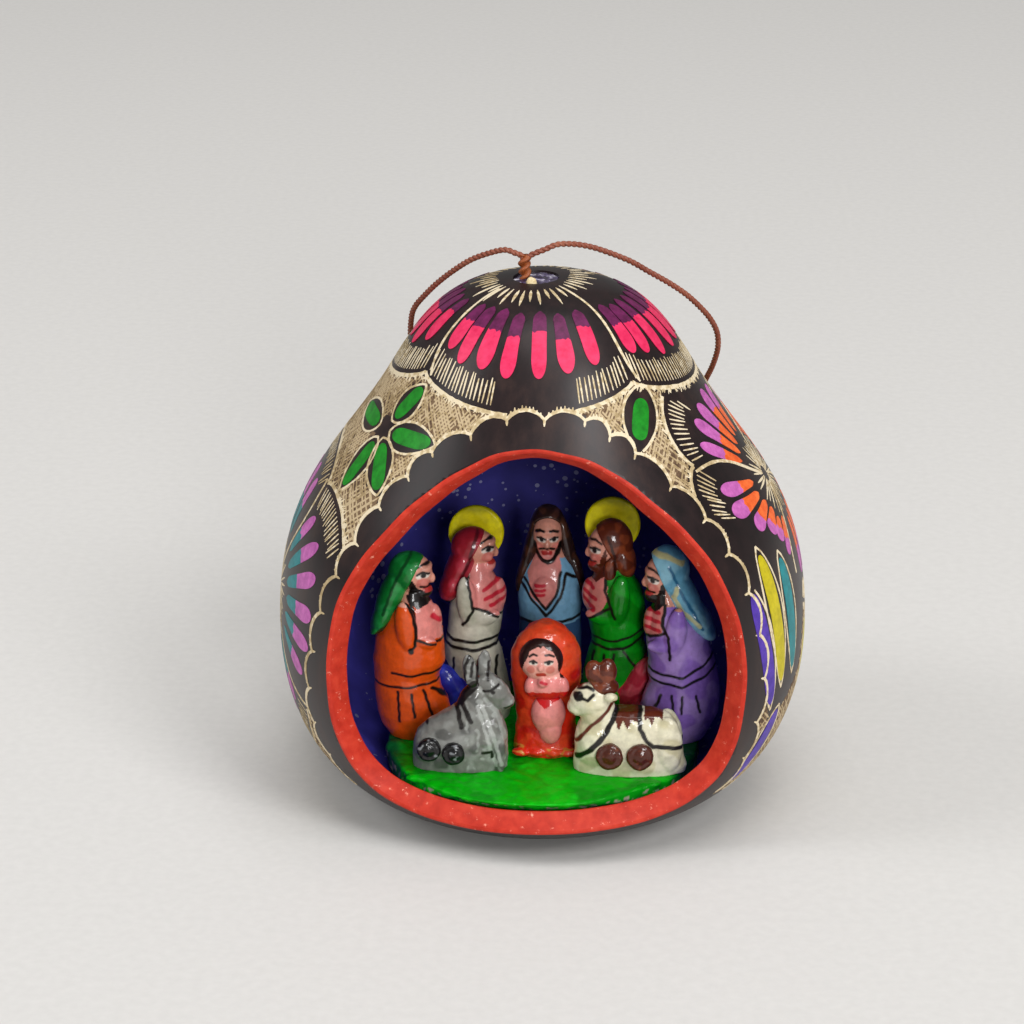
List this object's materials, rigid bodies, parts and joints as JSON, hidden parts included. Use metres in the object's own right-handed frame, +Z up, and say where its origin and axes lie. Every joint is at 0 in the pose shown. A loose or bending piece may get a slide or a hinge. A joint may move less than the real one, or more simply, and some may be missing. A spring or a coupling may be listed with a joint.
{
  "type": "gourd crib ornament",
  "caption": "Carved and painted gourd with an arched opening that holds a glued clay crib scene, hung on a swinging loop of twisted cord.",
  "frame": {"origin": "centre of the gourd's flat foot, on the floor", "axes": "+Z up along the gourd's axis, the opening faces -Y, +X to the viewer's right"},
  "size_m": [0.0736, 0.0677, 0.0794],
  "materials": {
    "gourd_skin": "dyed and burnished",
    "green_ground": "glossy paint",
    "orange_robe": "glossy paint",
    "green_cloth": "glossy paint",
    "white_robe": "glossy paint",
    "red_veil": "glossy paint",
    "yellow_halo": "glossy paint",
    "blue_cape": "glossy paint",
    "blue_robe": "glossy paint",
    "dark_hair": "glossy paint",
    "green_robe": "glossy paint",
    "brown_hair": "glossy paint",
    "red_cape": "glossy paint",
    "purple_robe": "glossy paint",
    "blue_cloth": "glossy paint",
    "red_hood": "glossy paint",
    "pink_skin": "glossy paint",
    "grey_coat": "glossy paint",
    "black_hoof": "glossy paint",
    "cream_coat": "glossy paint",
    "brown_coat": "glossy paint",
    "bare_wood": "raw",
    "brown_cord": "waxed"
  },
  "bodies": {
    "gourd": {"gourd_shell": "gourd_skin", "ground_slab": "green_ground", "left_shepherd_body": "orange_robe", "left_shepherd_headcloth": "green_cloth", "mother_body": "white_robe", "mother_veil": "red_veil", "mother_halo": "yellow_halo", "mother_cape": "blue_cape", "centre_shepherd_body": "blue_robe", "centre_shepherd_hair": "dark_hair", "father_body": "green_robe", "father_hair": "brown_hair", "father_halo": "yellow_halo", "father_cape": "red_cape", "right_shepherd_body": "purple_robe", "right_shepherd_headcloth": "blue_cloth", "crib_hood": "red_hood", "child_body": "pink_skin", "donkey_body": "grey_coat", "donkey_rear_hoof": "black_hoof", "donkey_front_hoof": "black_hoof", "ox_body": "cream_coat", "ox_tuft": "brown_coat", "ox_front_hoof": "brown_coat", "ox_rear_hoof": "brown_coat", "cord_stick": "bare_wood", "cord_stalk": "brown_cord"},
    "hanging_loop": {"hanging_cord": "brown_cord"}
  },
  "joints": [
    {"name": "loop_swing", "type": "hinge", "parent": "gourd", "child": "hanging_loop", "pos_m": [-0.0025, 0, 0.0777], "axis": [1, 0, 0], "range_deg": [0, 138]}
  ]
}
